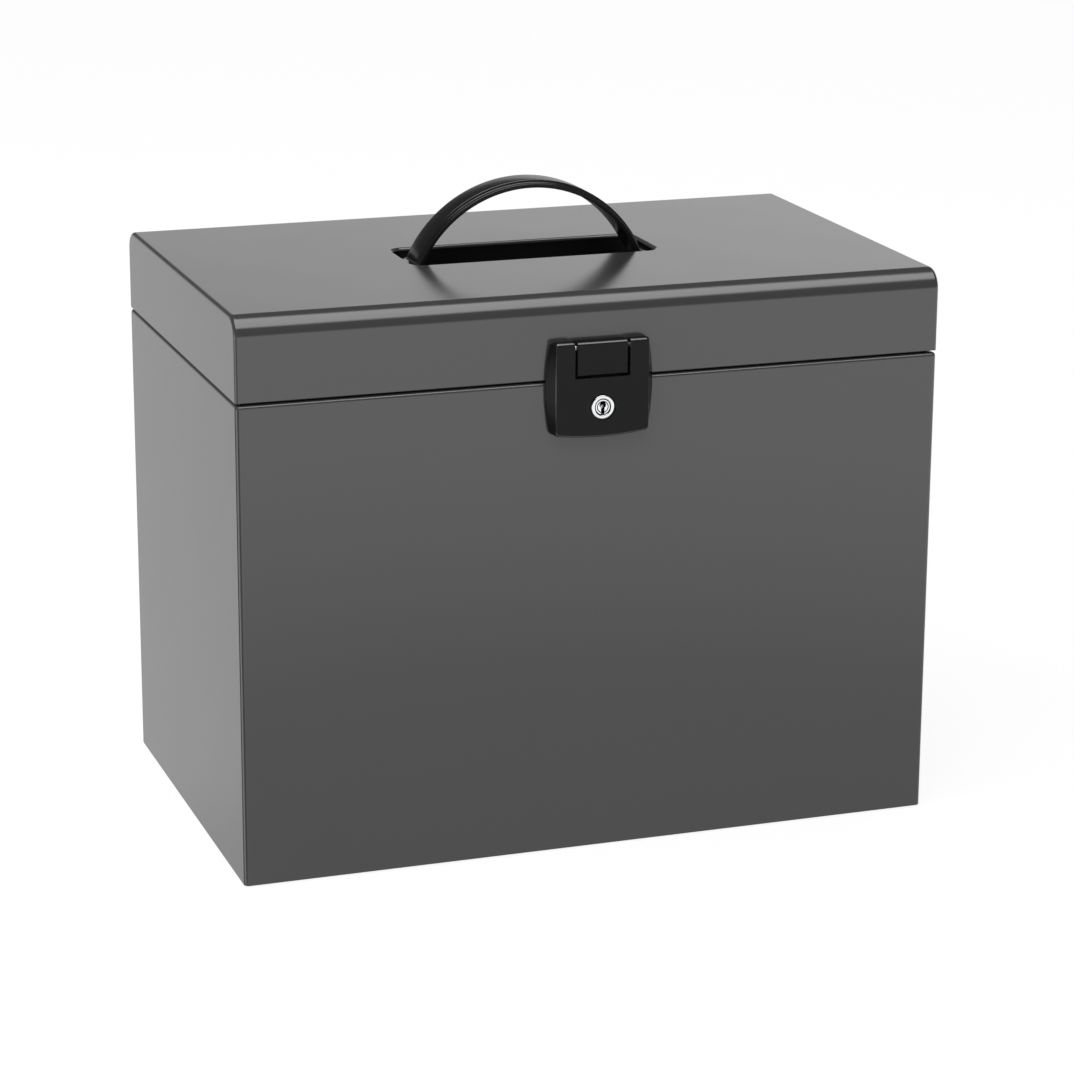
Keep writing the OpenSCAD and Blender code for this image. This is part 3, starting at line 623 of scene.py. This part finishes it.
tray_path = np.concatenate([
    [[flange_out, lid_top - sheet - tray_gap]],
    arc((lip_r, lid_top - lip_r), lip_r - sheet - tray_gap, 90, 180),
    [[sheet + tray_gap, slot_high], [sheet + tray_gap, slot_low]],
    arc((sheet + tray_gap - tray_bend_r, tray_floor + tray_bend_r), tray_bend_r, 0, -90),
])
tray_section = np.roll(two_skins(tray_path, tray_wall, round_end=False), -len(tray_path), axis=0)
slot_cut = slot_half / (cutout_half[1] - cutout_r)
tray_loops = rounded_loop(cutout_half[0] + tray_section[:, 0], cutout_half[1] + tray_section[:, 0],
                          cutout_r + tray_section[:, 0], np.linspace(-1, 1, 9),
                          np.array([-1, -slot_cut, 0, slot_cut, 1]))
tray_rings = with_height(tray_loops, tray_section[:, 1])
floor_in, floor_out = tray_rings[:1] * [0, 0, 1], tray_rings[-1:] * [0, 0, 1]
tray_rows = np.concatenate([floor_in, tray_rings, floor_out])
points, quads = grid(tray_rows, join_cols=True)
centres = points[quads].mean(1)
in_slot = ((np.abs(centres[:, 0]) > cutout_half[0]) & (np.abs(centres[:, 1]) < slot_half)
           & (centres[:, 2] > slot_low) & (centres[:, 2] < slot_high))
tray = solid_mesh("handle_tub", [(points, quads[~in_slot])], close=False)
work = bmesh.new()
work.from_mesh(tray)
for way in (-1, 1):
    rim = [e for e in work.edges if e.is_boundary and e.verts[0].co.x * way > 0]
    bmesh.ops.bridge_loops(work, edges=rim)
work.to_mesh(tray)
work.free()
piece(tray, "lid", "black_plastic", black_plastic, "handle_tray")


# Handle: one flexible strap of moulded plastic, an arch with a raised middle band and two feet.
# The feet lie flat under the lid. On the real box the arch can be pressed down and springs back; here it
# keeps its raised shape.
strap_half, rib_half = 11.0, 7.75
strap_t, rib_t = 2.2, 1.5
arch_centre = 257.0
arch_r = 66.0
foot_bend_r = 2.0
foot_top = 284.1
foot_end = 76.9
bar_l, bar_half = 3.0, 14.0
strap_edge_r, rib_slope, least_r = 0.5, 0.35, 0.02
rib_fade = (61.0, 67.0)
foot_steps, bend_steps, arch_steps = 5, 7, 40
strap_plastic = finish("handle_black", (black_dark, black_light), (0.16, 0.22), grain=2200, bump=0.000003,
                       mottle=25, level=0.12)
edge_plastic = finish("polished_edge", (black_dark, black_light), (0.1, 0.14), grain=2200, bump=0.000001,
                      mottle=25, level=0.9)


def second_finish(thing, material, where):
    """Gives a second material to the faces that pass a test of (centres in mm, normals), both (count, 3)."""
    faces = thing.data.polygons
    centres, normals = np.empty(3 * len(faces)), np.empty(3 * len(faces))
    faces.foreach_get("center", centres)
    faces.foreach_get("normal", normals)
    thing.data.materials.append(material)
    chosen = where(centres.reshape(-1, 3) * 1000, normals.reshape(-1, 3))
    faces.foreach_set("material_index", chosen.astype(np.int32))


def on_strap_edge(centres, normals):
    """True on the strap's small edge rounds, whose normals lean between its flat faces and its sides."""
    out = centres * [1, 0, 1] - [0, 0, arch_centre]
    lean = np.abs((out * normals).sum(1)) / np.linalg.norm(out, axis=1)
    return (lean > 0.2) & (lean < 0.97) & (np.abs(centres[:, 0]) < foot_end - bar_l)


def corners_rounded(corners, radii, steps=4):
    """A closed outline whose corners are cut off by an even curve: each corner gives a quadratic arc between
    the two points at its radius along its sides."""
    corners = np.array(corners, float)
    before, after = np.roll(corners, 1, 0) - corners, np.roll(corners, -1, 0) - corners
    reach = np.array(radii, float)[:, None]
    a = corners + before / np.linalg.norm(before, axis=1, keepdims=True) * reach
    b = corners + after / np.linalg.norm(after, axis=1, keepdims=True) * reach
    t = np.linspace(0, 1, steps + 1)[None, :, None]
    curves = (1 - t) ** 2 * a[:, None] + 2 * t * (1 - t) * corners[:, None] + t ** 2 * b[:, None]
    return curves.reshape(-1, 2)


def strap_section(rise):
    """The strap's section as (across, out): a flat band whose middle stands up by rise."""
    right = [(strap_half, -strap_t), (strap_half, 0), (rib_half, 0), (rib_half - rib_slope, rise)]
    left = [(-x, y) for x, y in right[::-1]]
    rib_r = rib_slope * min(rise, 1) + least_r
    radii = [strap_edge_r, rib_slope, rib_r, rib_r]
    return corners_rounded(left[-1:] + right + left[:-1], radii[:1] + radii + radii[:0:-1])


bend_y = foot_top + foot_bend_r
bend_x = sqrt((arch_r + foot_bend_r) ** 2 - (bend_y - arch_centre) ** 2)
arch_end = np.degrees(asin(bend_x / (arch_r + foot_bend_r)))
lean = np.concatenate([np.zeros(foot_steps), np.linspace(0, arch_end, bend_steps + 2)[1:-1],
                       np.linspace(arch_end, 0, arch_steps)])
foot_x = np.concatenate([np.linspace(foot_end, bend_x, foot_steps), np.full(bend_steps, bend_x),
                         np.zeros(arch_steps)])
on_arch = foot_x == 0
out = np.stack([np.sin(np.radians(lean)), np.cos(np.radians(lean))], -1)
foot_path = np.stack([foot_x, np.full(len(foot_x), bend_y)], -1) - foot_bend_r * out
half_path = np.where(on_arch[:, None], [0, arch_centre] + arch_r * out, foot_path)
path = np.concatenate([half_path * [-1, 1], half_path[-2::-1]])
out = np.concatenate([out * [-1, 1], out[-2::-1]])
fade = np.where(on_arch, np.clip((rib_fade[1] - lean) / (rib_fade[1] - rib_fade[0]), 0, 1), 0)
fade = np.concatenate([fade, fade[-2::-1]])[:, None]
rows = []
for place, way, amount in zip(path, out, fade):
    section = strap_section(0.001) * (1 - amount) + strap_section(rib_t) * amount
    across = section[:, 0] * (bar_half / strap_half if abs(place[0]) > foot_end - bar_l else 1)
    line = place + section[:, 1:] * way
    rows.append(np.column_stack([line[:, 0], across, line[:, 1]]))
strap = solid_mesh("handle_strap", [grid(np.array(rows), join_cols=True)], merge=0.0005)
strap = piece(strap, None, "black_plastic", strap_plastic)
second_finish(strap, edge_plastic, on_strap_edge)
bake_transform(strap)
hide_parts("handle_crown", "handle_leg_left", "handle_leg_right")


# Latch flap: a barrel-sided hasp of moulded plastic that hangs on the latch pin and covers the seam.
# It is hollow behind, and its upper half is cut out round the tab of the latch base.
flap_face_half = 24.0
flap_end_half, flap_mid_half = 25.5, 27.75
flap_bow = 2.0
flap_rim = 1.5
flap_wall = 1.8
flap_edge_r = 1.5
flap_top_r = 1.5
flap_corner_r = 1.6
flap_bar_h = 3.0
flap_edge_round = 0.25
seat_r, seat_depth = 7.25, 0.6
barrel_r = 5.0
cavity_half = 21.5
hook_way_half = 15.5
tab_gap, tab_low_gap = 1.4, 1.5
past = 5.0
flap_low, flap_high = box_mm("latch_flap")
tab_low, tab_high = box_mm("latch_base")
flap_depth = flap_high[1] - flap_low[1]
pivot_r = flap_depth / 2
pivot_z = flap_high[2] - pivot_r
flap_half_h = (flap_high[2] - flap_low[2]) / 2


def flap_loop(depth):
    """The flap's outline at a depth behind its face, as (x, z): a rounded square pulled out to the barrel's
    side curve, which is a parabola over the height, and bowed down along its foot by another. The top is
    drawn in by the small radius of the front edge and by the round behind the pin."""
    flank = min(depth / (flap_depth - flap_rim), 1)
    if depth < pivot_r:
        top = pivot_z + pivot_r - flap_top_r + sqrt(flap_top_r ** 2 - max(flap_top_r - depth, 0) ** 2)
    else:
        top = pivot_z + sqrt(pivot_r ** 2 - (depth - pivot_r) ** 2)
    low = flap_low[2] + flap_edge_r - sqrt(flap_edge_r ** 2 - max(flap_edge_r - depth, 0) ** 2)
    unit = rounded_loop(flap_face_half, flap_half_h, flap_corner_r, np.linspace(-1, 1, 21),
                        np.linspace(-1, 1, 21))[0]
    height = unit[:, 1] / flap_half_h
    bulge = flap_end_half + (flap_mid_half - flap_end_half) * (1 - height ** 2)
    half = flap_face_half + (bulge - flap_face_half) * flank
    x = unit[:, 0] / flap_face_half * half
    foot = low + flap_bow * (x / flap_end_half) ** 2
    z = foot + (height + 1) / 2 * (top - foot)
    return np.column_stack([x, np.full(len(x), flap_low[1] + depth), z])


def prism(low, high):
    """A box between two corners, for a cut, as its lower and its upper outline."""
    ends = np.array([-1, 1])
    loop = rounded_loop((high[0] - low[0]) / 2, (high[1] - low[1]) / 2, 0.0, ends, ends, corner_steps=1)
    loop = loop + [(high[0] + low[0]) / 2, (high[1] + low[1]) / 2]
    return with_height(np.concatenate([loop, loop]), [low[2], high[2]])


def rod(radius, y0, y1, z, steps=64):
    """A round rod along Y for a cut, as two rings."""
    angle = np.linspace(0, 2 * pi, steps, endpoint=False)
    ring = np.stack([radius * np.cos(angle), 0 * angle, z + radius * np.sin(angle)], -1)
    return np.stack([ring + [0, y0, 0], ring + [0, y1, 0]])


def cut_away(mesh, cutters):
    """The mesh less each cutter, as a new mesh."""
    thing = bpy.data.objects.new("cut", mesh)
    bpy.context.scene.collection.objects.link(thing)
    helpers = []
    for rings in cutters:
        helper = bpy.data.objects.new("cutter", solid_mesh("cutter", [grid(rings, join_cols=True)]))
        bpy.context.scene.collection.objects.link(helper)
        helpers.append(helper)
        cut = thing.modifiers.new("cut", "BOOLEAN")
        cut.operation = "DIFFERENCE"
        cut.solver = "EXACT"
        cut.object = helper
    bpy.context.view_layer.update()
    result = bpy.data.meshes.new_from_object(thing.evaluated_get(bpy.context.evaluated_depsgraph_get()))
    for helper in helpers + [thing]:
        bpy.data.objects.remove(helper)
    return result


def on_latch_edge(centres, normals):
    """True on the rounds along the front edges of the flap and the tab."""
    depth = centres[:, 1] - flap_low[1]
    rim = (depth < 0.35) & (normals[:, 1] > -0.96)
    return rim | ((depth < flap_top_r) & (normals[:, 2] > 0.2) & (normals[:, 1] < -0.1))


depths = np.concatenate([
    flap_edge_r * (1 - np.cos(np.radians(np.linspace(4, 90, 8)))),
    np.linspace(flap_edge_r, flap_depth - flap_rim, 7)[1:],
    np.linspace(flap_depth - flap_rim, flap_depth - 0.02, 6)[1:],
])
flap_rows = np.array([flap_loop(depth) for depth in depths])
flap_body = solid_mesh("flap_body", [grid(flap_rows, join_cols=True)])
lock_z = np.mean(box_mm("cam_screw"), axis=0)[2]
tab_half = (tab_high[0] - tab_low[0]) / 2
slot_half_w = tab_half + tab_gap
slot_foot = tab_low[2] - tab_low_gap
inner_face = flap_low[1] + flap_wall
cavity_floor = flap_low[2] + flap_bow + flap_wall
ahead, behind = flap_low[1] - past, flap_high[1] + past
flap_cut = cut_away(flap_body, [
    prism((-slot_half_w, ahead, slot_foot), (slot_half_w, behind, flap_high[2] + past)),
    prism((-cavity_half, inner_face, cavity_floor), (cavity_half, behind, slot_foot - flap_bar_h)),
    prism((-hook_way_half, inner_face, flap_low[2] - past), (hook_way_half, behind, cavity_floor + 1)),
    rod(seat_r, ahead, flap_low[1] + seat_depth, lock_z),
    rod(barrel_r, ahead, inner_face + past, lock_z),
])
flap_cut.name = "latch_hasp"
round_edges(flap_cut, flap_edge_round)
latch_black = finish("latch_black", (black_dark, black_light), (0.22, 0.28), grain=2400, bump=0.000002,
                     mottle=22, level=0.13)
flap = piece(flap_cut, "flap", "black_plastic", latch_black, "latch_flap")
second_finish(flap, edge_plastic, on_latch_edge)


# Latch base: the black block screwed to the lid's front, which carries the pin.
# Its front is the plain tab that fills the flap's cut-out.
tab_edge_round = 0.3
tab_front = np.concatenate([
    [[tab_high[1], tab_low[2]], [tab_low[1], tab_low[2]]],
    arc((tab_low[1] + flap_top_r, tab_high[2] - flap_top_r), flap_top_r, 180, 90),
    [[tab_high[1], tab_high[2]]],
])
tab_rows = np.zeros((2, len(tab_front), 3))
tab_rows[:, :, 0] = np.array([[-tab_half], [tab_half]])
tab_rows[:, :, 1:] = tab_front
tab = solid_mesh("latch_tab", [grid(tab_rows, join_cols=True)])
round_edges(tab, tab_edge_round, segments=3)
tab = piece(tab, "lid", "black_plastic", latch_black, "latch_base")
second_finish(tab, edge_plastic, on_latch_edge)


# Lock: a bright plated rim set in the flap's round seat, and a plug with a keyhole that turns in it.
# The plug's face lies a little behind the rim's.
# Its keyhole, groove and edge and the rim's bore are painted near black with no reflection: painted shade.
rim_low, rim_high = box_mm("lock_housing")
plug_low, plug_high = box_mm("lock_plug")
rim_r, bore_r, plug_r = 5.9, 4.05, 4.0
rim_t = 1.2
rim_rounds = [0.55, 0.45, 0.1, 0.05, 0.2, 0.1]
groove_in, groove_out, groove_depth = 2.6, 3.0, 0.4
plug_chamfer = 0.35
plug_tail_r, plug_tail_l = 2.5, 1.0
keyhole_rise, keyhole_r, keyhole_depth = 1.0, 1.7, 3.0
keyhole_slot_half, keyhole_slot_l = 0.9, 4.6
# Painted shade: near-black colours for the keyhole, the plug's groove and the gap round the plug.
lock_painted_shade_dark = (0.002, 0.002, 0.002, 1)
lock_painted_shade_light = (0.004, 0.004, 0.004, 1)
chrome_dark = (0.74, 0.75, 0.76, 1)
chrome_light = (0.82, 0.83, 0.84, 1)


def turned(section, steps=96):
    """A turned part about the lock's axis: a closed section of (radius, y) points swept round it."""
    angle = np.linspace(0, 2 * pi, steps, endpoint=False)
    section = np.array(section, float)
    points = np.stack([section[:, None, 0] * np.cos(angle), section[:, None, 1] + 0 * angle,
                       lock_z + section[:, None, 0] * np.sin(angle)], -1)
    return points


lock_painted_shade = finish("lock_painted_shade_dark", (lock_painted_shade_dark, lock_painted_shade_light), (0.6, 0.7), grain=1500, bump=0.000004, level=0.0)
chrome = finish("lock_plate", (chrome_dark, chrome_light), (0.07, 0.13), grain=1500, bump=0.000004, mottle=80,
                metal=1.0)
rim_face, rim_back, rim_end = rim_low[1], rim_low[1] + rim_t, rim_high[1]
rim_section = corners_rounded([(bore_r, rim_face), (rim_r, rim_face), (rim_r, rim_back), (barrel_r, rim_back),
                               (barrel_r, rim_end), (bore_r, rim_end)], rim_rounds)
rim = solid_mesh("lock_rim", [grid(turned(rim_section), join_rows=True, join_cols=True)], close=False,
                 merge=0.0005)
rim = piece(rim, "flap", "lock_chrome", chrome, "lock_housing")
# The rim's bore, which shows as the gap round the plug, is painted shade.
second_finish(rim, lock_painted_shade, lambda at, normals: np.hypot(at[:, 0], at[:, 2] - lock_z) < bore_r + 0.1)

plug_face, plug_end = plug_low[1], plug_high[1]
groove_foot, tail_start = plug_face + groove_depth, plug_end - plug_tail_l
plug_section = [(0, plug_face), (groove_in - 0.05, plug_face), (groove_in, groove_foot),
                (groove_out, groove_foot), (groove_out + 0.05, plug_face), (plug_r - plug_chamfer, plug_face),
                (plug_r, plug_face + plug_chamfer), (plug_r, tail_start), (plug_tail_r, tail_start),
                (plug_tail_r, plug_end), (0, plug_end)]
plug_body = solid_mesh("plug_body", [grid(turned(plug_section), join_cols=True)], close=False, merge=0.0005)
keyhole_z = lock_z + keyhole_rise
keyhole_ahead, keyhole_end = plug_face - past, plug_face + keyhole_depth
plug_cut = cut_away(plug_body, [
    rod(keyhole_r, keyhole_ahead, keyhole_end, keyhole_z),
    prism((-keyhole_slot_half, keyhole_ahead, keyhole_z - keyhole_slot_l),
          (keyhole_slot_half, keyhole_end, keyhole_z)),
])
plug_cut.name = "lock_barrel_plug"
plug = piece(plug_cut, "plug", "lock_chrome", chrome, "lock_plug")
# Everything set back from the plug's face, its keyhole, groove and edge, is painted shade.
second_finish(plug, lock_painted_shade, lambda at, normals: at[:, 1] > plug_face + 0.12)
